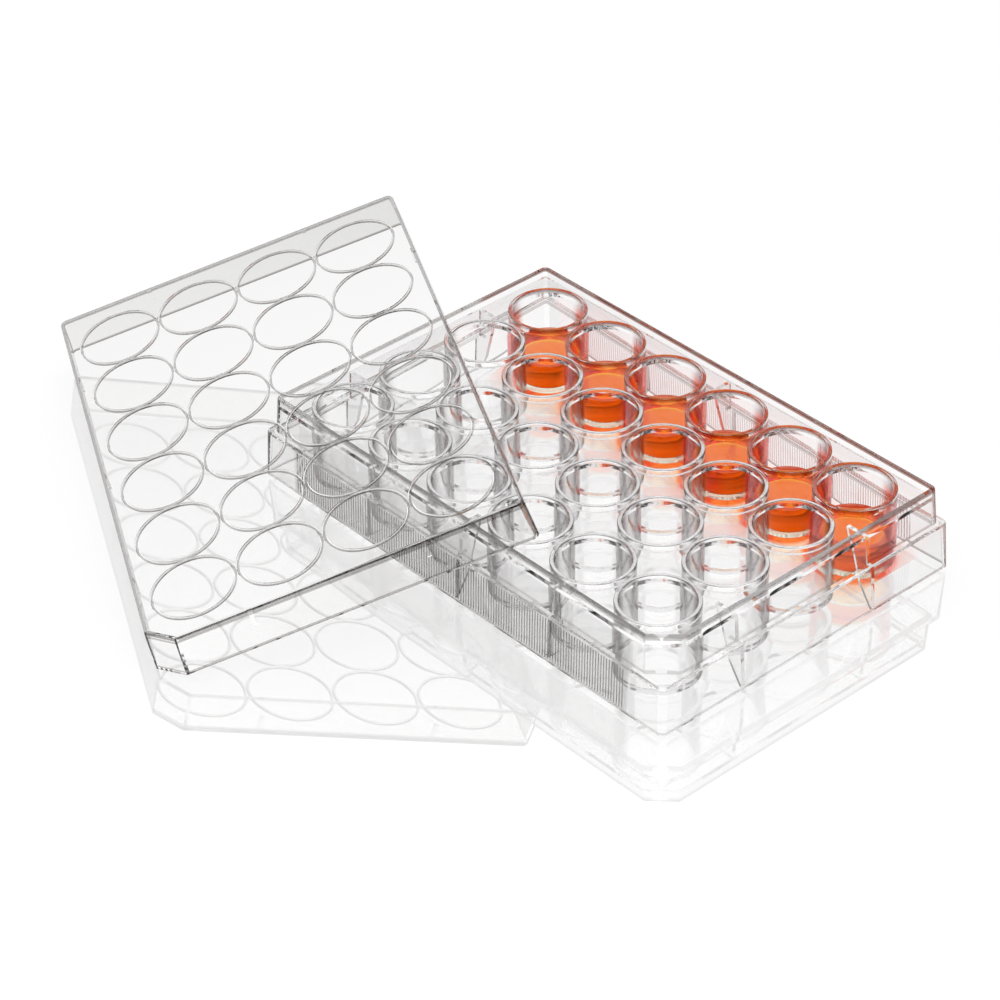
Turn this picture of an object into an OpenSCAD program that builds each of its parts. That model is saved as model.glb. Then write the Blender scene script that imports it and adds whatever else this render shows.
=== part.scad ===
// Clear 24-well culture plate, with its lid taken off and leaning on one corner of it.
// The six wells of the back row hold culture medium.
// Millimetres, +Z up. The middle of the footprint is at the origin, and the long sides run along X.
// The upper box has its one cut corner at +X, -Y.

/* [Skirt and box] */
// Length of the skirt at its foot
base_l = 127.76; // [124:0.01:160]
// Width of the skirt at its foot
base_w = 85.48; // [84:0.01:110]
// Height of the whole plate, up to the raised rim round its top
plate_h = 20.2; // [18:0.1:30]
// Height of the shelf that the closed lid stands on
shelf_z = 11.5; // [7:0.1:14]
// Width of that shelf
shelf_w = 1.4; // [1:0.1:2]
// How far the skirt leans in between its foot and the shelf
skirt_lean = 0.45; // [0:0.05:1]
// How far the box above the shelf leans in
box_lean = 0.5; // [0:0.05:1]
// Thickness of the skirt at its foot
foot_t = 0.7; // [0.5:0.05:1.2]
// Thickness of the walls, the shelf and the raised rim
wall_t = 1; // [0.7:0.05:1.4]
// Thickness of the deck between the wells
deck_t = 1; // [0.7:0.1:2]
// Depth of the deck below the raised rim
deck_drop = 2; // [1:0.1:4]
// Rounding of the outer edges of the raised rim and the shelf
rim_edge = 0.3; // [0.1:0.05:0.4]
// Radius of the upright corners
corner_r = 1.5; // [0.8:0.1:3]
// Legs of the cut corner of the box
cut_leg = 5.2; // [3:0.5:10]

/* [Wells] */
// Spacing of the wells
well_pitch = 19.3; // [18.6:0.1:19.8]
// Bore of a well at its mouth
well_top_d = 16.3; // [12:0.1:16.4]
// Bore of a well at its floor
well_floor_d = 15.6; // [11:0.1:16]
// Thickness of a well's wall
well_wall = 1; // [0.7:0.05:1]
// Height of the underside of the wells above the table
well_foot = 2.2; // [0.5:0.1:3]
// Thickness of a well's floor
floor_t = 1.1; // [0.8:0.1:2]
// Height of a well's mouth above the deck
mouth_h = 1.2; // [0.5:0.1:1.8]
// Rounding of both edges of the mouth
mouth_edge = 0.3; // [0.1:0.05:0.3]

/* [Grip grooves and fins] */
// Spacing of the grip grooves in the long sides
grip_pitch = 0.8; // [0.6:0.1:3]
// Width of a grip groove at the face
grip_w = 0.44; // [0.2:0.02:0.5]
// Depth of a grip groove
grip_d = 0.2; // [0.1:0.05:0.3]
// Length of the grooved band
grip_span = 105; // [60:1:118]
// Plain strip left above and below the grooves
grip_end = 0.7; // [0.4:0.1:2]
// Thickness of the fins under the deck
fin_t = 1; // [0.6:0.1:1.5]
// How far the fins of the short sides reach in under the deck
fin_short = 5.2; // [2:0.1:7]
// How far the fins of the long sides reach in under the deck
fin_long = 5; // [2:0.1:6]
// How far a fin reaches in at the foot
fin_foot = 0.6; // [0.2:0.1:2]
// How far a fin reaches in at its knee
fin_knee = 4.2; // [2:0.1:4.5]
// Height of that knee
fin_knee_z = 5.5; // [3:0.1:8]
// Thickness of the thin webs between the long sides and the wells
web_t = 0.6; // [0.4:0.1:1]

/* [Lid] */
// Thickness of the lid's top
lid_top = 1; // [0.7:0.1:2]
// Thickness of the lid's skirt
lid_wall = 0.8; // [0.6:0.05:1.5]
// Gap between the foot of the lid's skirt and the box, when the lid is on
lid_gap = 0.45; // [0.3:0.05:1]
// Gap between the lid's top and the raised rim, when the lid is on
lid_air = 0.1; // [0:0.1:1]
// How far the lid's skirt leans in
lid_lean = 0.65; // [0:0.05:0.65]
// Rounding of the lid's top edge
lid_edge = 0.7; // [0.2:0.1:0.8]
// Radius of a condensation ring under the lid
ring_r = 9.3; // [7:0.1:9.3]
// Width of a condensation ring at the lid's underside
ring_w = 0.7; // [0.4:0.1:1]
// Height of a condensation ring
ring_h = 0.5; // [0.2:0.1:1]
// Width of a spacer rib inside the lid's skirt
spacer_w = 1; // [0.6:0.1:2]
// How far a spacer rib stands proud
spacer_d = 0.25; // [0.1:0.05:0.3]
// Height of a spacer rib
spacer_h = 3.7; // [2:0.1:6]

/* [Rest of the lid] */
// Where the lid's end crosses the plate's front edge, right of the middle
rest_x = 14.6; // [5:0.1:25]
// Distance along the lid's end from its back corner to that crossing
rest_end = 7.6; // [4:0.1:15]
// Compass direction of the lid's end, from X towards Y
rest_turn = 58.2; // [50:0.1:64]
// Play left at each place where the lid touches the plate
rest_play = 0.05; // [0.02:0.01:0.2]

/* [Medium] */
// Depth of the medium in the middle of a well
medium_h = 5.1; // [2:0.1:12]
// How far the medium climbs at the wall
meniscus_h = 0.8; // [0.2:0.1:1.2]
// How far from the wall it starts to climb
meniscus_w = 2; // [1:0.1:3]

/* [Hidden] */
cols = 6;
rows = 4;
thin = 0.01;
// Heights of the plate
deck_z = plate_h - deck_drop;
under_z = deck_z - deck_t;
mouth_z = deck_z + mouth_h;
floor_z = well_foot + floor_t;
// Half sizes of the skirt at its foot and at the shelf
foot_x = base_l / 2;
foot_y = base_w / 2;
shelf_x = foot_x - skirt_lean;
shelf_y = foot_y - skirt_lean;
// Half sizes of the box at the shelf and at its top
box_x = shelf_x - shelf_w;
box_y = shelf_y - shelf_w;
top_x = box_x - box_lean;
top_y = box_y - box_lean;
// Half sizes of the lid at its open foot and at its top, and its height
lid_foot_x = box_x + lid_gap + lid_wall;
lid_foot_y = box_y + lid_gap + lid_wall;
lid_top_x = lid_foot_x - lid_lean;
lid_top_y = lid_foot_y - lid_lean;
lid_h = plate_h - shelf_z + lid_top + lid_air;
lid_cut = cut_leg + lid_gap;
// Colours
clear_plastic = [0.86, 0.9, 0.93, 0.45];
medium_orange = [0.96, 0.42, 0.05];

// Middle of a well, counted from the -X, -Y corner
function well_x(i) = (i - (cols - 1) / 2) * well_pitch;
function well_y(j) = (j - (rows - 1) / 2) * well_pitch;

// Radius of a well's bore at a height
function bore_r(z) = well_floor_d / 2 + (well_top_d - well_floor_d) / 2 * (z - floor_z) / (mouth_z - floor_z);

function unit(v) = v / norm(v);

// Rounded rectangle from its half sizes, with the +X, -Y corner cut off by equal legs
module outline(x, y, r, leg) {
    difference() {
        union() {
            square([2 * (x - r), 2 * y], center = true);
            square([2 * x, 2 * (y - r)], center = true);
            for (sx = [-1, 1]) {
                for (sy = [-1, 1]) {
                    translate([sx * (x - r), sy * (y - r)]) circle(r, $fn = 24);
                }
            }
        }
        if (leg > 0) {
            translate([x, -y]) rotate(45) square(leg * sqrt(2), center = true);
        }
    }
}

// Block with leaning sides between two levels, with its top edge rounded by edge
module leaning(x0, y0, x1, y1, z0, z1, r, leg = 0, edge = 0) {
    hull() {
        translate([0, 0, z0]) linear_extrude(thin) outline(x0, y0, r, leg);
        for (a = edge > 0 ? [0:45:90] : [90]) {
            in = edge * (1 - cos(a));
            translate([0, 0, z1 - thin - edge * (1 - sin(a))])
                linear_extrude(thin) outline(x1 - in, y1 - in, r, leg);
        }
    }
}

module at_wells() {
    for (i = [0:cols - 1]) {
        for (j = [0:rows - 1]) {
            translate([well_x(i), well_y(j), 0]) children();
        }
    }
}

// Quarter round of the mouth from its side up to its top, as points for a profile. side is 1 outside and -1 inside
function mouth_round(r, side) = [
    for (a = [0:30:90])
        [r - side * mouth_edge * (1 - cos(a)), mouth_z - mouth_edge * (1 - sin(a))]
];

// Outside of one well, solid, with a rounded mouth
module well_column() {
    r0 = bore_r(floor_z) + well_wall;
    r1 = bore_r(mouth_z) + well_wall;
    rotate_extrude($fn = 72) polygon(concat([[0, well_foot], [r0, well_foot]], mouth_round(r1, 1), [[0, mouth_z]]));
}

// Inside of one well, cut right through the mouth
module well_bore() {
    r0 = bore_r(floor_z);
    r1 = bore_r(mouth_z);
    rotate_extrude($fn = 72)
        polygon(concat(
            [[0, floor_z], [r0, floor_z]], mouth_round(r1, -1), [[r1 + mouth_edge, plate_h + 1], [0, plate_h + 1]]
        ));
}

// Slanting fin in the X-Z plane that grows out of a +x wall: wide under the deck, and narrow at the foot below its
// knee. x_top, x_box, x_shelf and x_foot are that wall's outer faces at the rim, the shelf's two edges and the foot
module fin(x_top, x_box, x_shelf, x_foot, reach) {
    mid = wall_t / 2;
    rotate([90, 0, 0])
        linear_extrude(fin_t, center = true)
            polygon([
                [x_top - wall_t - reach, under_z + mid], [x_top - mid, under_z + mid], [x_box - mid, shelf_z - mid],
                [x_shelf - mid, shelf_z - mid], [x_foot - foot_t / 2, fin_foot / 2],
                [x_foot - foot_t - fin_foot, fin_foot / 2], [x_foot - foot_t - fin_knee, fin_knee_z]
            ]);
}

// Thin web in the Y-Z plane between a well and a +y wall
module web() {
    mid = wall_t / 2;
    y = well_y(rows - 1) + bore_r(floor_z) + well_wall / 2;
    rotate([90, 0, 90])
        linear_extrude(web_t, center = true)
            polygon([
                [y, under_z + mid], [top_y - mid, under_z + mid], [box_y - mid, shelf_z - mid],
                [shelf_y - mid, shelf_z - mid], [foot_y - foot_t / 2, fin_foot], [y, fin_foot]
            ]);
}

// Fins of all four walls, with the thin webs between the long walls and the wells
module fins() {
    for (side = [0, 180]) {
        rotate(side) {
            for (sy = [-1, 1]) {
                translate([0, sy * well_pitch, 0]) fin(top_x, box_x, shelf_x, foot_x, fin_short);
            }
            for (sx = [-1, 1]) {
                translate([sx * well_x(4), 0, 0]) web();
            }
        }
        rotate(side + 90) fin(top_y, box_y, shelf_y, foot_y, fin_long);
    }
}

// Hollow under the deck, in two steps under the shelf
module under_hollow() {
    shelf_under = shelf_z - wall_t;
    leaning(
        foot_x - foot_t, foot_y - foot_t, shelf_x - wall_t, shelf_y - wall_t, -thin, shelf_under,
        corner_r - foot_t / 2
    );
    leaning(
        box_x - wall_t, box_y - wall_t, top_x - wall_t, top_y - wall_t, shelf_under - 1, under_z, corner_r / 2,
        cut_leg
    );
}

// Row of grip grooves, as a comb that stands against the skirt's -Y face
module grip_cutter() {
    turn = atan(skirt_lean / shelf_z);
    half = floor(grip_span / 2 / grip_pitch);
    teeth = [
        for (k = [-half:half])
            for (p = [[-0.5, -thin * 2], [-0.2, grip_d], [0.2, grip_d], [0.5, -thin * 2]])
                [k * grip_pitch + p[0] * grip_w, p[1]]
    ];
    end = half * grip_pitch + grip_w;
    translate([0, -foot_y, 0])
        rotate([-turn, 0, 0])
            translate([0, 0, grip_end])
                linear_extrude(shelf_z - 2 * grip_end)
                    polygon(concat([[-end, -thin * 2]], teeth, [[end, -thin * 2], [end, -1], [-end, -1]]));
}

module plate() {
    color(clear_plastic)
        difference() {
            union() {
                difference() {
                    union() {
                        leaning(foot_x, foot_y, shelf_x, shelf_y, 0, shelf_z, corner_r, 0, rim_edge);
                        leaning(box_x, box_y, top_x, top_y, shelf_z - 1, plate_h, corner_r, cut_leg, rim_edge);
                    }
                    under_hollow();
                    leaning(
                        top_x - wall_t, top_y - wall_t, top_x - wall_t, top_y - wall_t, deck_z, plate_h + 1,
                        corner_r / 2, cut_leg
                    );
                }
                at_wells() well_column();
                fins();
            }
            at_wells() well_bore();
            grip_cutter();
            mirror([0, 1, 0]) grip_cutter();
        }
}

// Lid with its top face at z = 0 and its open foot at z = -lid_h
module lid_body() {
    difference() {
        leaning(
            lid_foot_x, lid_foot_y, lid_top_x, lid_top_y, -lid_h, 0, corner_r, lid_cut, lid_edge
        );
        difference() {
            leaning(
                lid_foot_x - lid_wall, lid_foot_y - lid_wall, lid_top_x - lid_wall, lid_top_y - lid_wall,
                -lid_h - thin, -lid_top, corner_r / 2, lid_cut
            );
            at_wells() condensation_ring();
            spacers();
        }
    }
}

module condensation_ring() {
    rotate_extrude($fn = 72)
        polygon([
            [ring_r - ring_w / 2, -lid_top + thin], [ring_r + ring_w / 2, -lid_top + thin],
            [ring_r + ring_w / 4, -lid_top - ring_h], [ring_r - ring_w / 4, -lid_top - ring_h]
        ]);
}

// Ribs inside the lid's skirt, between the wells of every other column and row
module spacers() {
    x = lid_top_x - lid_wall - spacer_d;
    y = lid_top_y - lid_wall - spacer_d;
    for (side = [-1, 1]) {
        for (k = [-2, 0, 2]) {
            translate([k * well_pitch, side * (y + 1), -lid_top - spacer_h / 2])
                cube([spacer_w, 2, spacer_h + thin], center = true);
        }
        for (k = [-1, 1]) {
            translate([side * (x + 1), k * well_pitch, -lid_top - spacer_h / 2])
                cube([2, spacer_w, spacer_h + thin], center = true);
        }
    }
}

// The lid rests on three places. Its low corner, at one end of the cut, stands on the table. The inner foot edge of
// its +X end lies across the plate's front edge. The rings under its top lie on the plate's -X, -Y corner.
rest_run = 2 * lid_foot_y - rest_end;
rest_side = lid_cut - lid_wall;
rest_len = norm([rest_side, rest_run]);
on_edge = [rest_x, -top_y - rest_play, plate_h + rest_play];
rest_flat = sqrt(rest_len * rest_len - on_edge[2] * on_edge[2]);
on_table = [on_edge[0] - rest_flat * cos(rest_turn), on_edge[1] - rest_flat * sin(rest_turn), 0];
on_corner = [-top_x, -top_y, plate_h];
// Unit normal of the lid: square to the line between the first two places, and at the right depth over the third
rest_u = unit(on_edge - on_table);
rest_a = unit([0, 0, 1] - rest_u * rest_u[2]);
rest_b = cross(rest_u, rest_a);
corner_a = rest_a * (on_corner - on_table);
corner_b = rest_b * (on_corner - on_table);
rest_depth = lid_h - lid_top - ring_h - rest_play;
rest_angle = atan2(corner_b, corner_a) + acos(rest_depth / norm([corner_a, corner_b]));
rest_n = cos(rest_angle) * rest_a + sin(rest_angle) * rest_b;
rest_v = cross(rest_n, rest_u);
lid_ax = (rest_side * rest_u - rest_run * rest_v) / rest_len;
lid_ay = (rest_run * rest_u + rest_side * rest_v) / rest_len;
lid_o = on_table - lid_ax * (lid_foot_x - lid_cut) + lid_ay * lid_foot_y + rest_n * lid_h;

module lid() {
    color(clear_plastic)
        multmatrix([
            [lid_ax[0], lid_ay[0], rest_n[0], lid_o[0]],
            [lid_ax[1], lid_ay[1], rest_n[1], lid_o[1]],
            [lid_ax[2], lid_ay[2], rest_n[2], lid_o[2]],
            [0, 0, 0, 1]
        ])
            lid_body();
}

// Medium in one well of the back row: flat in the middle and climbing at the wall
module medium(i) {
    flat_z = floor_z + medium_h;
    edge_z = flat_z + meniscus_h;
    edge_r = bore_r(edge_z);
    steps = 5;
    climb = [
        for (k = [0:steps])
            [edge_r - meniscus_w * k / steps, flat_z + meniscus_h * pow(1 - k / steps, 2.4)]
    ];
    color(medium_orange)
        translate([well_x(i), well_y(rows - 1), 0])
            rotate_extrude($fn = 72)
                polygon(concat([[0, floor_z], [bore_r(floor_z), floor_z]], climb, [[0, flat_z]]));
}

module medium_1() { medium(0); }
module medium_2() { medium(1); }
module medium_3() { medium(2); }
module medium_4() { medium(3); }
module medium_5() { medium(4); }
module medium_6() { medium(5); }

plate();
lid();
medium_1();
medium_2();
medium_3();
medium_4();
medium_5();
medium_6();
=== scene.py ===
"""Looks for a clear 24-well culture plate with its lid taken off and six wells of medium."""

import math

import bpy
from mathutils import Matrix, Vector


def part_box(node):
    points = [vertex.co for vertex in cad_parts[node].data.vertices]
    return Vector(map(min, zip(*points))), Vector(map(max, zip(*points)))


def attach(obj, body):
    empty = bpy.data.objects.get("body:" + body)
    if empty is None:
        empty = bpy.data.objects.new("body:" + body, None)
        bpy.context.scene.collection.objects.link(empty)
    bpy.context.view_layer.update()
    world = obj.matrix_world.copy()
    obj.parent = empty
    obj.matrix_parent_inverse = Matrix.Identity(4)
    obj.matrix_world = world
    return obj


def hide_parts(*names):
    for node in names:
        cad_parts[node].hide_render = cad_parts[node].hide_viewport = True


bl_info = {
    "name": "Well plate",
    "version": (1, 0, 0),
    "blender": (4, 5, 0),
    "location": "3D View > Sidebar > Well plate",
    "description": "Clear moulded well plate, its lid, the culture medium and a plain table",
    "category": "Add Mesh",
}

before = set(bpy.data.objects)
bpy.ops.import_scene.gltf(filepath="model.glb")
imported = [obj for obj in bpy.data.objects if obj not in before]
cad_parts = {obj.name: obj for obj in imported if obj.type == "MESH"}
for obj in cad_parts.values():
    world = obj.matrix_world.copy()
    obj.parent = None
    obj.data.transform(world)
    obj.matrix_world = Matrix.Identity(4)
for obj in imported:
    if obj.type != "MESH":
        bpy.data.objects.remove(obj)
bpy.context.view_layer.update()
MEDIA = sorted(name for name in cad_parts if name.startswith("medium"))

# Plate: heights of the painted dark lines (painted shade) at its foot and its shelf, their depth below its rim, and
# how deep its shell is
FOOT_LINE = 0.0004
SHELF_LINE = (0.0109, 0.0116)
RIM_LINE = 0.0007
SHELL_DEPTH = (("X", 0.005), ("Y", 0.0045))
# Lid: depths below its top where its painted dark edge line ends, where the painted dark sides of a ring start and
# end, and where its painted dark face starts
LID_EDGE = 0.0007
RING_SIDE = (0.00102, 0.00155)
RING_FACE = 0.00125
# Share of a normal that points up, below which a face counts as upright, and angle past which an edge stays sharp
UPRIGHT = 0.8
SHARP_ANGLE = 40
# Grip grooves: how deep they lie in the long sides, slopes at which the painted shade of a flank starts and is full,
# and the painted shade over their whole front band
GRIP_DEPTH = 0.0022
FLANK_SLOPE = (0.35, 0.6)
BAND_SHADE = 0.35
# Filled wells: where the painted red shade of the plastic fades out in front, above and beside them, and where their
# painted dark lips start
ROW_FADE = 0.003
RED_SHADE_TOP = (0.018, 0.015)
WELL_SIDE = (0.0017, 0.0015)
LIP_FOOT = (0.0184, 0.0186)
# Shares of grazing at which the painted edge shade is full, and at which the painted red shade of the wells' flanks
# starts and is full
EDGE_FULL = 0.75
WARM_TURN = (0.38, 0.55)
# Flow marks of the mould
FLOW_SCALE = 45
FLOW_SPREAD = 0.02
FLOW_HEIGHT = 0.0002
# Medium: gain of the bore's radius by height, the climb at the wall, and its refraction
BORE_TAPER = 0.35 / 16.1
POUR_SIDES = 128
CLIMB_HEIGHT = 0.0008
CLIMB_REACH = 0.003
CLIMB_STEPS = 12
FLAT_INSET = 0.002
# Slopes of the surface between which its ring of painted shade comes in
RING_SLOPE = (0.995, 0.96)
WATER_IOR = 1.334
# Table: how far the painted pools of light lie from the wells' middles, and their edge as shares of their reach
TABLE_SIZE = 8
POOL_SHIFT = (-0.0026, 0.0022)
POOL_EDGE = (0.6, 0.68)
# Camera, the level direction away from it, and how much of the room along that direction turns to backdrop
CAMERA_AT = (0.45903, -0.42796, 0.45480)
CAMERA_TURN = (54.3809, 1.1483, 48.1791)
CAMERA_LENS = 127.154
AWAY = (-0.755, 0.656, 0)
BACKDROP = (-0.15, 0.45)
BOUNCES = 40


class PlasticSettings(bpy.types.PropertyGroup):
    """Clear moulded polystyrene, and the tints of painted shade on it, some of them red near the filled wells."""

    tint: bpy.props.FloatVectorProperty(
        name="Tint", description="Colour of light that has passed one face",
        subtype="COLOR", size=3, default=(1.0, 1.0, 1.0), min=0, max=1,
    )
    # Painted shade: dark tint where a face turns away from the view, as at rounded edges and the tubes' sides
    edge: bpy.props.FloatVectorProperty(
        name="Edge tint", description="Colour of light that grazes a face, as at a rounded edge or a tube's side",
        subtype="COLOR", size=3, default=(0.14, 0.12, 0.12), min=0, max=1,
    )
    # Painted shade: dark lines on the lid's edge, rings and foot, and on the plate's foot, shelf and rim
    line: bpy.props.FloatVectorProperty(
        name="Line tint", description="Colour of light that has passed the lid's edge or one of its rings",
        subtype="COLOR", size=3, default=(0.36, 0.35, 0.34), min=0, max=1,
    )
    # Painted shade: the lid's skirt turns this grey towards its back
    skirt: bpy.props.FloatVectorProperty(
        name="Skirt tint", description="Colour of light that has passed the lid's skirt",
        subtype="COLOR", size=3, default=(0.82, 0.82, 0.8), min=0, max=1,
    )
    # Painted shade tinted red by the medium, not a stain: edge tint of the plastic near the filled wells
    red_edge_shade: bpy.props.FloatVectorProperty(
        name="Red edge shade", description="Edge tint of the plastic around the filled wells",
        subtype="COLOR", size=3, default=(0.55, 0.012, 0.008), min=0, max=1,
    )
    # Painted shade tinted red by the medium, not rust: dark lines of the plate near the filled wells
    red_line_shade: bpy.props.FloatVectorProperty(
        name="Red line shade", description="Line tint of the plate's edges near the filled wells",
        subtype="COLOR", size=3, default=(0.16, 0.09, 0.08), min=0, max=1,
    )
    # Painted shade tinted red by the medium on the grazing flanks of the filled wells
    warm: bpy.props.FloatVectorProperty(
        name="Warm wall", description="Tint of the flanks of the filled wells below the deck",
        subtype="COLOR", size=3, default=(0.85, 0.24, 0.15), min=0, max=1,
    )
    # Painted shade on the rounded mouths of the filled wells
    lip: bpy.props.FloatVectorProperty(
        name="Lip", description="Tint of the rounded mouths of the filled wells",
        subtype="COLOR", size=3, default=(0.45, 0.42, 0.42), min=0, max=1,
    )
    # Where the painted edge shade starts
    edge_from: bpy.props.FloatProperty(
        name="Edge start", description="Share of grazing at which the edge tint starts", subtype="FACTOR",
        default=0.34, min=0, max=1,
    )
    grip: bpy.props.FloatProperty(
        name="Grip length", description="Length of the grooved band in the long sides", unit="LENGTH", default=0.1064,
        min=0.05, max=0.12,
    )
    # Painted shade in the flanks of the grip grooves
    groove: bpy.props.FloatVectorProperty(
        name="Groove tint", description="Colour of light that leaves through the flank of a grip groove",
        subtype="COLOR", size=3, default=(0.3, 0.29, 0.28), min=0, max=1,
    )
    body: bpy.props.FloatVectorProperty(
        name="Body colour", description="Colour that a long way through the plastic takes on",
        subtype="COLOR", size=3, default=(0.1, 0.07, 0.08), min=0, max=1,
    )
    haze: bpy.props.FloatProperty(
        name="Haze", description="Absorption per metre of plastic", default=9, min=0, max=200,
    )
    ior: bpy.props.FloatProperty(
        name="Refractive index", description="Refractive index of the plastic", default=1.5, min=1.3, max=1.7,
    )
    gloss: bpy.props.FloatProperty(
        name="Roughness", description="Mean roughness of the polished mould faces",
        subtype="FACTOR", default=0.02, min=0, max=0.3,
    )


class MediumSettings(bpy.types.PropertyGroup):
    """Orange-red culture medium."""

    absorb: bpy.props.FloatVectorProperty(
        name="Colour", description="Colour that a deep layer of medium lets through",
        subtype="COLOR", size=3, default=(1, 0.885, 0.32), min=0, max=1,
    )
    # Painted shade: darker ring on the liquid's surface where it climbs the wall
    ring: bpy.props.FloatVectorProperty(
        name="Ring", description="Tint of the ring where the surface climbs the wall",
        subtype="COLOR", size=3, default=(0.4, 0.08, 0.06), min=0, max=1,
    )
    strength: bpy.props.FloatProperty(
        name="Strength", description="Absorption per metre of medium", default=800, min=10, max=2000,
    )
    seat: bpy.props.FloatProperty(
        name="Seat", description="How far the liquid reaches into the wall, so that no air shows between them",
        unit="LENGTH", default=0.00005, min=0.00001, max=0.0002,
    )


class StageSettings(bpy.types.PropertyGroup):
    """Table, light and camera."""

    table: bpy.props.FloatVectorProperty(
        name="Table", description="Colour of the table", subtype="COLOR", size=3, default=(0.95, 0.95, 0.95),
        min=0, max=1,
    )
    drop: bpy.props.FloatProperty(
        name="Mirror depth", description="Depth of the table's reflecting face below the foot of the plate",
        unit="LENGTH", default=0.0013, min=0, max=0.01,
    )
    mirror: bpy.props.FloatProperty(
        name="Mirror", description="Strength of the table's mirror image", subtype="FACTOR", default=0.25, min=0,
        max=1,
    )
    mirror_inside: bpy.props.FloatProperty(
        name="Mirror through plastic", description="Strength of the mirror image where it is seen through plastic",
        subtype="FACTOR", default=0.06, min=0, max=1,
    )
    # Painted light: red pool on the table around the filled wells
    spill: bpy.props.FloatVectorProperty(
        name="Spill", description="Colour of the light that falls on the table through the medium", subtype="COLOR",
        size=3, default=(1, 0.1, 0.04), min=0, max=1,
    )
    # Painted light: pink light on the table between the filled wells, not the table's own colour
    pink_light_pool: bpy.props.FloatVectorProperty(
        name="Pink light pool", description="Colour of the table between the filled wells", subtype="COLOR",
        size=3, default=(1, 0.64, 0.56), min=0, max=1,
    )
    spill_reach: bpy.props.FloatProperty(
        name="Spill reach", description="Distance from a filled well's middle at which the table is white again",
        unit="LENGTH", default=0.015, min=0.005, max=0.03,
    )
    sky: bpy.props.FloatProperty(
        name="Ceiling light", description="Strength of the soft light from above", default=1.5, min=0, max=4,
    )
    dark: bpy.props.FloatProperty(
        name="Room", description="Brightness of the room behind the camera at eye level", default=0.35, min=0, max=2,
    )


def deselect():
    """Leaves edit mode and selects nothing."""
    if bpy.context.mode != "OBJECT":
        bpy.ops.object.mode_set(mode="OBJECT")
    bpy.ops.object.select_all(action="DESELECT")


def only(piece):
    """Selects one piece alone."""
    deselect()
    piece.select_set(True)
    bpy.context.view_layer.objects.active = piece


def place_mesh(piece):
    """Moves the piece's place into its mesh."""
    only(piece)
    bpy.ops.object.transform_apply(location=True, rotation=True, scale=True)


def smooth(piece, degrees):
    """Shades a piece smooth, apart from edges sharper than an angle."""
    only(piece)
    bpy.ops.object.shade_smooth_by_angle(angle=math.radians(degrees))


def polished_copy(node, name):
    """Copies a moulding, joins its loose triangles and shades its round faces smooth."""
    only(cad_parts[node])
    bpy.ops.object.duplicate()
    piece = bpy.context.active_object
    piece.name = name
    piece.parent = None
    only(piece)
    bpy.ops.mesh.customdata_custom_splitnormals_clear()
    bpy.ops.object.mode_set(mode="EDIT")
    bpy.ops.mesh.select_all(action="SELECT")
    bpy.ops.mesh.remove_doubles(threshold=1e-6)
    bpy.ops.mesh.dissolve_limited(angle_limit=math.radians(0.05))
    bpy.ops.object.mode_set(mode="OBJECT")
    smooth(piece, SHARP_ANGLE)
    flat = piece.modifiers.new("flat_faces", "WEIGHTED_NORMAL")
    flat.mode = "FACE_AREA"
    flat.weight = 100
    flat.keep_sharp = True
    bpy.ops.object.modifier_apply(modifier=flat.name)
    return piece


def new_tree(name):
    """A new material and its empty node tree."""
    material = bpy.data.materials.new(name)
    material.use_nodes = True
    tree = material.node_tree
    tree.nodes.clear()
    return material, tree


def add_node(tree, kind, **values):
    """Adds a node with its own properties."""
    node = tree.nodes.new(kind)
    for key, value in values.items():
        setattr(node, key, value)
    return node


def grey(level):
    """A grey colour."""
    return (level,) * 3


def plug(tree, value, socket):
    """Links a socket to another one, or sets it to a plain value."""
    if isinstance(value, bpy.types.NodeSocket):
        tree.links.new(value, socket)
    else:
        socket.default_value = value


def maths(tree, operation, *values):
    """Result of a Math node on sockets or plain numbers."""
    node = add_node(tree, "ShaderNodeMath", operation=operation)
    for value, socket in zip(values, node.inputs):
        plug(tree, value, socket)
    return node.outputs[0]


def share_of(tree, value, start, end, kind="SMOOTHSTEP"):
    """0 where the value is at start, 1 where it is at end, and between them in between."""
    node = add_node(tree, "ShaderNodeMapRange", interpolation_type=kind)
    for name, given in (("Value", value), ("From Min", start), ("From Max", end)):
        plug(tree, given, node.inputs[name])
    return node.outputs["Result"]


def axes(tree, vector):
    """The X, Y and Z of a vector."""
    node = add_node(tree, "ShaderNodeSeparateXYZ")
    tree.links.new(vector, node.inputs[0])
    return node.outputs


def dot(tree, vector, direction):
    """How far a vector reaches in a direction."""
    node = add_node(tree, "ShaderNodeVectorMath", operation="DOT_PRODUCT")
    tree.links.new(vector, node.inputs[0])
    node.inputs[1].default_value = direction
    return node.outputs["Value"]


def mix_colour(tree, factor, first, second, blend="MIX"):
    """Mixes two colours, each a socket or plain numbers."""
    mix = add_node(tree, "ShaderNodeMix", data_type="RGBA", blend_type=blend)
    plug(tree, factor, mix.inputs["Factor"])
    for socket, value in ((mix.inputs[6], first), (mix.inputs[7], second)):
        plug(tree, value if isinstance(value, bpy.types.NodeSocket) else (*value, 1), socket)
    return mix.outputs[2]


def ramp(tree, value, stops, kind="LINEAR"):
    """Colours by a value from 0 to 1, from stops of a place and a colour."""
    node = add_node(tree, "ShaderNodeValToRGB")
    band = node.color_ramp
    band.interpolation = kind
    band.elements.remove(band.elements[1])
    band.elements[0].position = stops[0][0]
    band.elements[0].color = (*stops[0][1], 1)
    for place, colour in stops[1:]:
        band.elements.new(place).color = (*colour, 1)
    tree.links.new(value, node.inputs[0])
    return node.outputs[0]


def ray_sum(tree, shares):
    """Adds up Light Path outputs, each times its own share."""
    path = add_node(tree, "ShaderNodeLightPath")
    total = 0
    for ray, share in shares:
        total = maths(tree, "MULTIPLY_ADD", path.outputs[ray], share, total)
    return total


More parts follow.
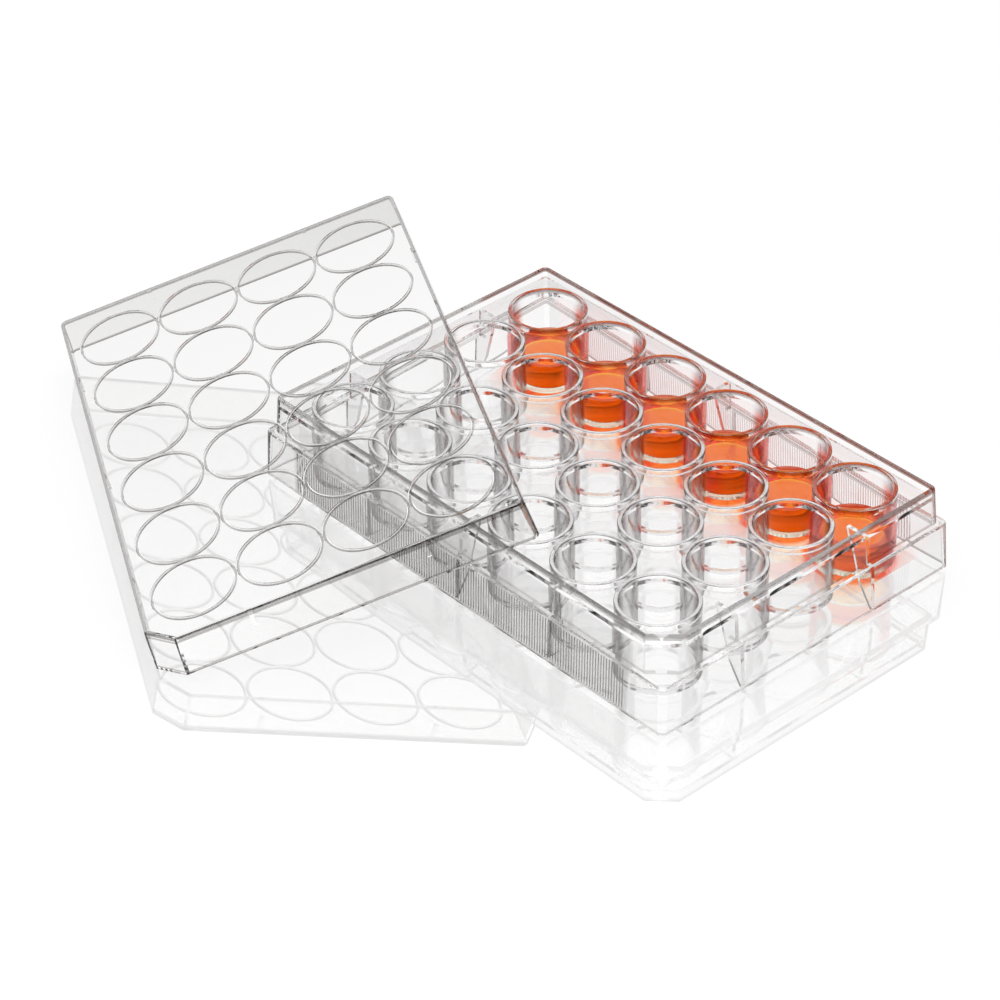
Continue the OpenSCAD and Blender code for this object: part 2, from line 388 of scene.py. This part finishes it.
def new_group(name, inputs, outputs):
    """An empty node group with float sockets, its inputs and its outputs."""
    group = bpy.data.node_groups.new(name, "ShaderNodeTree")
    for way, labels in (("INPUT", inputs), ("OUTPUT", outputs)):
        for label in labels:
            group.interface.new_socket(name=label, in_out=way, socket_type="NodeSocketFloat")
    return group, add_node(group, "NodeGroupInput").outputs, add_node(group, "NodeGroupOutput").inputs


def use_group(tree, group, values):
    """Outputs of a node group that is placed in a tree with its own values."""
    node = add_node(tree, "ShaderNodeGroup", node_tree=group)
    for name, value in values.items():
        plug(tree, value, node.inputs[name])
    return node.outputs


def moulded_gloss():
    """Node group: faint flow waviness and roughness of a polished injection mould."""
    group = bpy.data.node_groups.get("moulded_gloss")
    if group:
        return group
    group, given, out = new_group("moulded_gloss", ("Scale", "Roughness", "Spread"), ("Roughness", "Height"))
    place = add_node(group, "ShaderNodeTexCoord")
    flow = add_node(group, "ShaderNodeTexNoise")
    flow.inputs["Detail"].default_value = 2
    plug(group, place.outputs["Object"], flow.inputs["Vector"])
    plug(group, given["Scale"], flow.inputs["Scale"])
    rough = maths(group, "MULTIPLY_ADD", flow.outputs["Fac"], given["Spread"], given["Roughness"])
    plug(group, rough, out["Roughness"])
    plug(group, flow.outputs["Fac"], out["Height"])
    return group


def groove_flank_shade():
    """Node group: mask of the painted shade in the flanks of the grip grooves, by the face's direction and its place
    on the long sides.

    A flank counts in full in front and half at the back, and all of the front band counts a little.
    """
    group = bpy.data.node_groups.get("groove_flank_shade")
    if group:
        return group
    group, given, out = new_group("groove_flank_shade", ("Side", "Reach"), ("Mask",))
    place = add_node(group, "ShaderNodeTexCoord")
    at = axes(group, place.outputs["Object"])
    way = axes(group, place.outputs["Normal"])
    steep = share_of(group, maths(group, "ABSOLUTE", way["X"]), *FLANK_SLOPE)
    front = maths(group, "LESS_THAN", at["Y"], 0)
    weight = maths(group, "MULTIPLY_ADD", front, 0.5, 0.5)
    flank = maths(group, "MULTIPLY", steep, weight)
    # Painted shade over the whole front band
    least = maths(group, "MAXIMUM", flank, maths(group, "MULTIPLY", front, BAND_SHADE))
    outside = maths(group, "GREATER_THAN", maths(group, "ABSOLUTE", at["Y"]), given["Side"])
    inside = maths(group, "LESS_THAN", maths(group, "ABSOLUTE", at["X"]), given["Reach"])
    band = maths(group, "MULTIPLY", outside, inside)
    plug(group, maths(group, "MULTIPLY", least, band), out["Mask"])
    return group


def plate_lines(tree):
    """Amount of painted dark line (painted shade) on the plate's foot, the edge of its shelf and its raised rim."""
    low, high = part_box("plate")
    top = high[2]
    place = add_node(tree, "ShaderNodeTexCoord")
    at = axes(tree, place.outputs["Object"])
    way = axes(tree, place.outputs["Normal"])
    ends, sides = (
        maths(tree, "GREATER_THAN", maths(tree, "ABSOLUTE", at[axis]), high["XYZ".index(axis)] - inset)
        for axis, inset in SHELL_DEPTH
    )
    shell = maths(tree, "MAXIMUM", ends, sides)
    steep = maths(tree, "LESS_THAN", maths(tree, "ABSOLUTE", way["Z"]), UPRIGHT)
    rim = maths(tree, "GREATER_THAN", at["Z"], top - RIM_LINE)
    wall = maths(tree, "MULTIPLY", maths(tree, "MAXIMUM", steep, rim), shell)
    none, some, full = (0, 0, 0), (0.6, 0.6, 0.6), (1, 1, 1)
    heights = (
        (0, some), (FOOT_LINE, none), (SHELF_LINE[0], some), (SHELF_LINE[1], none), (top - RIM_LINE, full)
    )
    stops = [(height / top, tone) for height, tone in heights]
    lines = ramp(tree, maths(tree, "DIVIDE", at["Z"], top), stops, "CONSTANT")
    return maths(tree, "MULTIPLY", wall, lines)


def lid_frame(piece):
    """The lid's upward direction, how far its top lies along it, and its height."""
    widest = max(piece.data.polygons, key=lambda face: face.area)
    up = widest.normal.copy()
    if up.z < 0:
        up.negate()
    along = [corner.co.dot(up) for corner in piece.data.vertices]
    return up, max(along), max(along) - min(along)


def lid_shades(tree, piece, settings):
    """Painted shade of the lid: dark lines on its outer edge, rings and foot, and a skirt greyer towards its back, by
    depth below its top and by the slope of the face.
    """
    up, top, height = lid_frame(piece)
    place = add_node(tree, "ShaderNodeTexCoord")
    depth = share_of(tree, dot(tree, place.outputs["Object"], up), top, top - height, "LINEAR")
    steep = maths(tree, "LESS_THAN", maths(tree, "ABSOLUTE", dot(tree, place.outputs["Normal"], up)), UPRIGHT)
    clear, line = tuple(settings.tint), tuple(settings.line)
    upright = ramp(
        tree, depth,
        (
            (0, line), (LID_EDGE / height, clear), (RING_SIDE[0] / height, line), (RING_SIDE[1] / height, (1, 1, 1)),
            (1 - FOOT_LINE / height, line),
        ),
        "CONSTANT",
    )
    low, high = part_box("lid")
    # Painted shade: the skirt turns greyer towards the lid's back
    back = share_of(tree, axes(tree, place.outputs["Object"])["Y"], low[1], high[1], "LINEAR")
    skirt = mix_colour(tree, 1, upright, mix_colour(tree, back, clear, settings.skirt), "MULTIPLY")
    flat = ramp(tree, depth, ((0, clear), (RING_FACE / height, line)), "CONSTANT")
    return mix_colour(tree, steep, flat, skirt)


def beside_medium(tree):
    """Masks of the plastic near the filled wells, for its painted red shade and painted dark lips.

    They are its back at all heights, the row below the deck, the wells' own walls there, and the wells' lips.
    """
    low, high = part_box(MEDIA[0])
    at = axes(tree, add_node(tree, "ShaderNodeTexCoord").outputs["Object"])
    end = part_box(MEDIA[-1])[1][0]
    clear, full = WELL_SIDE
    near = share_of(tree, at["Y"], low[1] - ROW_FADE, low[1])
    left = share_of(tree, at["X"], low[0] - clear, low[0] - full)
    right = share_of(tree, at["X"], end + clear, end + full)
    back = share_of(tree, at["Y"], high[1] + clear, high[1] + full)
    row = maths(tree, "MULTIPLY", left, right)
    below = maths(tree, "MULTIPLY", maths(tree, "MULTIPLY", near, row), share_of(tree, at["Z"], *RED_SHADE_TOP))
    wells = maths(tree, "MULTIPLY", row, back)
    walls = maths(tree, "MULTIPLY", below, wells)
    lips = maths(tree, "MULTIPLY", maths(tree, "MULTIPLY", near, wells), share_of(tree, at["Z"], *LIP_FOOT))
    return near, below, walls, lips


def see_through(tree, settings):
    """Clear body with the given sockets of its shader, and with the colour and density of its inside."""
    shader = add_node(tree, "ShaderNodeBsdfPrincipled")
    fixed = {"Metallic": 0, "Transmission Weight": 1, "Specular Tint": (0, 0, 0, 1)}
    for name, value in {**fixed, **settings["face"]}.items():
        plug(tree, value, shader.inputs[name])
    inside = add_node(tree, "ShaderNodeVolumeAbsorption")
    colour, density = settings["inside"]
    inside.inputs["Color"].default_value = (*colour, 1)
    inside.inputs["Density"].default_value = density
    out = add_node(tree, "ShaderNodeOutputMaterial")
    tree.links.new(shader.outputs[0], out.inputs["Surface"])
    tree.links.new(inside.outputs[0], out.inputs["Volume"])


def clear_plastic(name, settings, wave, grip_side=0, lid=None):
    """Clear plastic with painted shade where a face turns away from the view, painted dark lines and skirt shade on
    the lid, and, on the plate, painted dark lines, painted shade in the grip grooves' flanks and painted red shade
    near the filled wells.
    """
    material, tree = new_tree(name)
    graze = add_node(tree, "ShaderNodeLayerWeight")
    graze.inputs["Blend"].default_value = 0.5
    facing = graze.outputs["Facing"]
    # Painted shade: the edge tint comes in as a face turns away from the view
    turn = share_of(tree, facing, settings.edge_from, EDGE_FULL)
    if lid:
        # Painted dark lines and skirt shade of the lid, under the painted edge shade
        colour = mix_colour(tree, turn, lid_shades(tree, lid, settings), settings.edge)
    else:
        # Painted shade tinted red near the filled wells, on their flanks and on their lips
        near, below, walls, lips = beside_medium(tree)
        flank = maths(tree, "MULTIPLY", share_of(tree, facing, *WARM_TURN), walls)
        plain = mix_colour(tree, flank, settings.tint, settings.warm)
        edge = mix_colour(tree, below, settings.edge, settings.red_edge_shade)
        colour = mix_colour(tree, turn, plain, edge)
        # Painted shade on the filled wells' lips
        colour = mix_colour(tree, lips, colour, settings.lip)
        # Painted dark lines on the plate's foot, shelf and rim, tinted red near the filled wells
        line = mix_colour(tree, near, settings.line, settings.red_line_shade)
        colour = mix_colour(tree, plate_lines(tree), colour, line)
        # Painted shade in the grip grooves' flanks and, faintly, over the whole front band
        grip = use_group(tree, groove_flank_shade(), {"Side": grip_side, "Reach": settings.grip / 2})
        colour = mix_colour(tree, grip["Mask"], colour, settings.groove)
    gloss = use_group(
        tree, moulded_gloss(),
        {"Scale": FLOW_SCALE, "Roughness": max(settings.gloss - FLOW_SPREAD / 2, 0), "Spread": FLOW_SPREAD},
    )
    bump = add_node(tree, "ShaderNodeBump")
    for label, value in (("Strength", wave), ("Distance", FLOW_HEIGHT), ("Height", gloss["Height"])):
        plug(tree, value, bump.inputs[label])
    face = {
        "Base Color": colour, "Roughness": gloss["Roughness"], "IOR": settings.ior, "Normal": bump.outputs["Normal"],
    }
    see_through(tree, {"face": face, "inside": (settings.body, settings.haze)})
    return material


def liquid(name, settings):
    """Coloured liquid with a ring of painted shade where its surface climbs the wall."""
    material, tree = new_tree(name)
    up = axes(tree, add_node(tree, "ShaderNodeTexCoord").outputs["Normal"])["Z"]
    # Painted shade: the ring where the surface climbs the wall
    steep = share_of(tree, up, *RING_SLOPE)
    top = maths(tree, "GREATER_THAN", up, 0.3)
    ring = maths(tree, "MULTIPLY", steep, top)
    colour = mix_colour(tree, ring, (1, 1, 1), settings.ring)
    face = {"Base Color": colour, "Roughness": 0, "IOR": WATER_IOR}
    see_through(tree, {"face": face, "inside": (settings.absorb, settings.strength)})
    return material


class WELLPLATE_OT_plate(bpy.types.Operator):
    """Add the clear moulded plate"""

    bl_idname = "wellplate.plate"
    bl_label = "Plate"

    def execute(self, context):
        piece = polished_copy("plate", "clear_plate")
        piece.data.materials.clear()
        low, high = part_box("plate")
        side = (high[1] - low[1]) / 2 - GRIP_DEPTH
        piece.data.materials.append(clear_plastic("plate_polystyrene", context.scene.well_plastic, 0.02, side))
        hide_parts("plate")
        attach(piece, "root")
        return {"FINISHED"}


class WELLPLATE_OT_lid(bpy.types.Operator):
    """Add the clear moulded lid"""

    bl_idname = "wellplate.lid"
    bl_label = "Lid"

    def execute(self, context):
        piece = polished_copy("lid", "clear_lid")
        piece.data.materials.clear()
        piece.data.materials.append(clear_plastic("lid_polystyrene", context.scene.well_plastic, 0.03, lid=piece))
        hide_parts("lid")
        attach(piece, "root")
        return {"FINISHED"}


class WELLPLATE_OT_medium(bpy.types.Operator):
    """Add the portions of culture medium"""

    bl_idname = "wellplate.medium"
    bl_label = "Medium"

    def execute(self, context):
        settings = context.scene.well_medium
        look = liquid("culture_medium", settings)
        for name in MEDIA:
            low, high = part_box(name)
            piece = pour(name + "_liquid", low, high, settings.seat)
            piece.data.materials.append(look)
            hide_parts(name)
            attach(piece, "root")
        return {"FINISHED"}


def pour(name, low, high, seat):
    """One portion of medium: a tapered drum with its top drawn down from the wall to a flat middle."""
    middle = (Vector(low) + Vector(high)) / 2
    height = high[2] - low[2]
    top = (high[0] - low[0]) / 2
    floor = top - height * BORE_TAPER
    deselect()
    bpy.ops.mesh.primitive_circle_add(
        vertices=POUR_SIDES, radius=floor + seat, fill_type="NGON", location=(middle.x, middle.y, low[2] - seat)
    )
    piece = bpy.context.active_object
    piece.name = name
    bpy.ops.object.mode_set(mode="EDIT")
    bpy.ops.mesh.select_all(action="SELECT")
    bpy.ops.mesh.extrude_region_move(TRANSFORM_OT_translate={"value": (0, 0, height + seat)})
    size = (top + seat) / (floor + seat)
    bpy.ops.transform.resize(value=(size, size, 1), center_override=(middle.x, middle.y, high[2]))
    drops = [CLIMB_HEIGHT * (1 - step / CLIMB_STEPS) ** 2 for step in range(CLIMB_STEPS + 1)]
    for here, there in zip(drops, drops[1:]):
        bpy.ops.mesh.inset(thickness=CLIMB_REACH / CLIMB_STEPS, depth=0)
        bpy.ops.transform.translate(value=(0, 0, there - here))
    bpy.ops.mesh.inset(thickness=FLAT_INSET, depth=0)
    bpy.ops.mesh.select_all(action="SELECT")
    bpy.ops.mesh.normals_make_consistent(inside=False)
    bpy.ops.object.mode_set(mode="OBJECT")
    place_mesh(piece)
    smooth(piece, SHARP_ANGLE)
    return piece


class WELLPLATE_OT_stage(bpy.types.Operator):
    """Add the table, the light and the camera"""

    bl_idname = "wellplate.stage"
    bl_label = "Stage"

    def execute(self, context):
        settings = context.scene.well_stage
        scene = context.scene
        deselect()
        bpy.ops.mesh.primitive_plane_add(size=TABLE_SIZE, location=(0, 0, -settings.drop))
        table = context.active_object
        table.name = "table"
        place_mesh(table)
        table.data.materials.append(table_finish(settings))
        light_room(scene, settings)
        bpy.ops.object.camera_add(location=CAMERA_AT, rotation=[math.radians(angle) for angle in CAMERA_TURN])
        camera = context.active_object
        camera.name = "camera"
        camera.data.lens = CAMERA_LENS
        camera.data.sensor_width = 36
        camera.data.clip_start = 0.01
        camera.data.dof.use_dof = False
        scene.camera = camera
        scene.view_settings.view_transform = "Standard"
        scene.cycles.max_bounces = BOUNCES
        scene.cycles.transmission_bounces = BOUNCES
        scene.cycles.glossy_bounces = BOUNCES
        scene.cycles.diffuse_bounces = 4
        return {"FINISHED"}


def spill(tree, settings):
    """Painted light: colour of the table by its distance from the nearest filled well, a red pool with pink light
    around it, white further out.
    """
    boxes = [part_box(name) for name in MEDIA]
    middles = sorted((low[0] + high[0]) / 2 for low, high in boxes)
    pitch = middles[1] - middles[0]
    low, high = boxes[0]
    shift = add_node(tree, "ShaderNodeMapping")
    shift.inputs["Location"].default_value = (
        -POOL_SHIFT[0] - middles[0], -POOL_SHIFT[1] - (low[1] + high[1]) / 2, 0
    )
    plug(tree, add_node(tree, "ShaderNodeTexCoord").outputs["Object"], shift.inputs["Vector"])
    at = axes(tree, shift.outputs["Vector"])
    flat = add_node(tree, "ShaderNodeCombineXYZ")
    plug(tree, maths(tree, "WRAP", at["X"], pitch / 2, -pitch / 2), flat.inputs["X"])
    plug(tree, at["Y"], flat.inputs["Y"])
    reach = add_node(tree, "ShaderNodeVectorMath", operation="LENGTH")
    plug(tree, flat.outputs[0], reach.inputs[0])
    before = maths(tree, "LESS_THAN", at["X"], -pitch / 2)
    after = maths(tree, "GREATER_THAN", at["X"], middles[-1] - middles[0] + pitch / 2)
    share = maths(tree, "DIVIDE", reach.outputs["Value"], settings.spill_reach)
    share = maths(tree, "MAXIMUM", share, maths(tree, "ADD", before, after))
    return ramp(tree, share, ((POOL_EDGE[0], settings.spill), (POOL_EDGE[1], settings.pink_light_pool), (1, grey(1))))


def mix_shaders(tree, share, first, second):
    """Mixes two shader nodes."""
    node = add_node(tree, "ShaderNodeMixShader")
    for value, socket in zip((share, first.outputs[0], second.outputs[0]), node.inputs):
        tree.links.new(value, socket)
    return node


def table_finish(settings):
    """White table that shows as plain white, with the object's soft shadow, its faint mirror image and painted red
    and pink pools of light around the filled wells, which its glow gives off too.
    """
    material, tree = new_tree("white_table")
    # Painted light: red and pink pools around the filled wells
    colour = spill(tree, settings)
    matt = add_node(tree, "ShaderNodeBsdfDiffuse")
    plug(tree, mix_colour(tree, 1, colour, settings.table, "MULTIPLY"), matt.inputs["Color"])
    # The glow gives off the painted pools of light too
    glow = add_node(tree, "ShaderNodeEmission")
    plug(tree, colour, glow.inputs["Color"])
    glow.inputs["Strength"].default_value = 1
    polish = add_node(tree, "ShaderNodeBsdfGlossy")
    polish.inputs["Color"].default_value = (1, 1, 1, 1)
    polish.inputs["Roughness"].default_value = 0
    glowing = ray_sum(tree, (("Is Camera Ray", 0.85), ("Is Glossy Ray", 0.6), ("Is Transmission Ray", 0.85)))
    shining = ray_sum(
        tree,
        (
            ("Is Camera Ray", settings.mirror), ("Is Glossy Ray", settings.mirror),
            ("Is Transmission Ray", settings.mirror_inside),
        ),
    )
    face = mix_shaders(tree, shining, mix_shaders(tree, glowing, matt, glow), polish)
    out = add_node(tree, "ShaderNodeOutputMaterial")
    tree.links.new(face.outputs[0], out.inputs["Surface"])
    return material


def light_room(scene, settings):
    """White ceiling and white backdrop behind the object, and a dark room behind the camera."""
    world = bpy.data.worlds.new("studio")
    world.use_nodes = True
    tree = world.node_tree
    tree.nodes.clear()
    way = add_node(tree, "ShaderNodeTexCoord").outputs["Generated"]
    height = axes(tree, way)["Z"]
    dark, sky = grey(settings.dark), grey(settings.sky)
    dim = ramp(tree, height, ((0, grey(0.6)), (0.1, dark), (0.5, dark), (0.75, sky)))
    bright = ramp(tree, height, ((0, grey(1)), (0.6, grey(1)), (0.75, sky)))
    behind = share_of(tree, dot(tree, way, AWAY), *BACKDROP)
    room = add_node(tree, "ShaderNodeBackground")
    plug(tree, mix_colour(tree, behind, dim, bright), room.inputs["Color"])
    white = add_node(tree, "ShaderNodeBackground")
    white.inputs["Color"].default_value = (1, 1, 1, 1)
    seen = mix_shaders(tree, ray_sum(tree, (("Is Camera Ray", 1),)), room, white)
    out = add_node(tree, "ShaderNodeOutputWorld")
    tree.links.new(seen.outputs[0], out.inputs["Surface"])
    scene.world = world


class WELLPLATE_PT_panel(bpy.types.Panel):
    """Lists the pieces and their settings"""

    bl_idname = "WELLPLATE_PT_panel"
    bl_label = "Well plate"
    bl_space_type = "VIEW_3D"
    bl_region_type = "UI"
    bl_category = "Well plate"

    def draw(self, context):
        column = self.layout.column()
        for operator in OPERATORS:
            column.operator(operator.bl_idname)
        for group in (context.scene.well_plastic, context.scene.well_medium, context.scene.well_stage):
            for name in group.__annotations__:
                column.prop(group, name)


GROUPS = (PlasticSettings, MediumSettings, StageSettings)
OPERATORS = (WELLPLATE_OT_plate, WELLPLATE_OT_lid, WELLPLATE_OT_medium, WELLPLATE_OT_stage)


def register():
    for kind in (*GROUPS, *OPERATORS, WELLPLATE_PT_panel):
        bpy.utils.register_class(kind)
    bpy.types.Scene.well_plastic = bpy.props.PointerProperty(type=PlasticSettings)
    bpy.types.Scene.well_medium = bpy.props.PointerProperty(type=MediumSettings)
    bpy.types.Scene.well_stage = bpy.props.PointerProperty(type=StageSettings)


def unregister():
    del bpy.types.Scene.well_stage
    del bpy.types.Scene.well_medium
    del bpy.types.Scene.well_plastic
    for kind in reversed((*GROUPS, *OPERATORS, WELLPLATE_PT_panel)):
        bpy.utils.unregister_class(kind)


def main():
    register()
    bpy.ops.wellplate.plate()
    bpy.ops.wellplate.lid()
    bpy.ops.wellplate.medium()
    bpy.ops.wellplate.stage()


if __name__ == "__main__":
    main()
